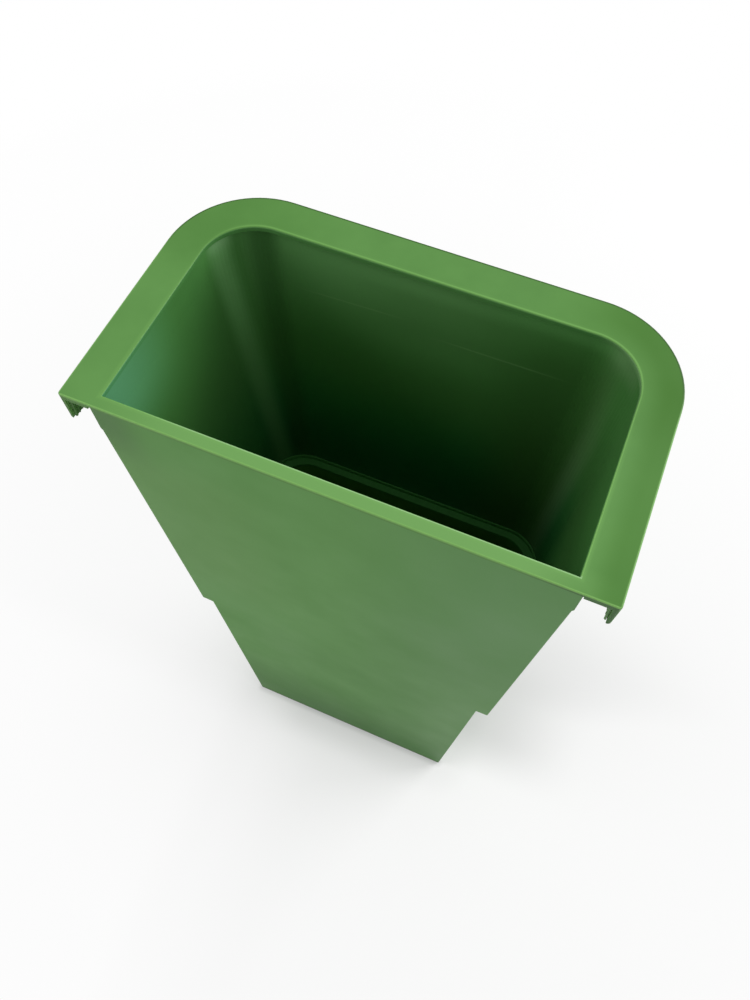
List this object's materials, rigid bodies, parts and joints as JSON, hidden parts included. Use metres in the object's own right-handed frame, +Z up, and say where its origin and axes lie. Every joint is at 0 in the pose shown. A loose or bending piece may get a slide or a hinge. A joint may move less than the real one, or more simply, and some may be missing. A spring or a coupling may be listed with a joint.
{
  "type": "compost bin",
  "caption": "Slim tapered compost bin with a flat front panel, rounded back corners and a down-turned hook lip on three sides of its rim.",
  "frame": {"origin": "centre of the bounding box at the underside of the base", "axes": "+Z up through the mouth, flat front panel toward -Y, rounded back wall toward +Y, +X to the right seen from the front"},
  "size_m": [0.292, 0.166, 0.512],
  "materials": {
    "rim_plastic": "moulded polypropylene, satin",
    "panel_plastic": "moulded polypropylene, satin",
    "wall_plastic": "moulded polypropylene, satin",
    "strip_plastic": "moulded polypropylene, matt"
  },
  "bodies": {
    "root": {"rim_frame": "rim_plastic", "panel_and_sump": "panel_plastic", "upper_wrap": "wall_plastic", "grip_strip_left": "strip_plastic", "grip_strip_right": "strip_plastic", "grip_strip_back": "strip_plastic"}
  },
  "joints": []
}
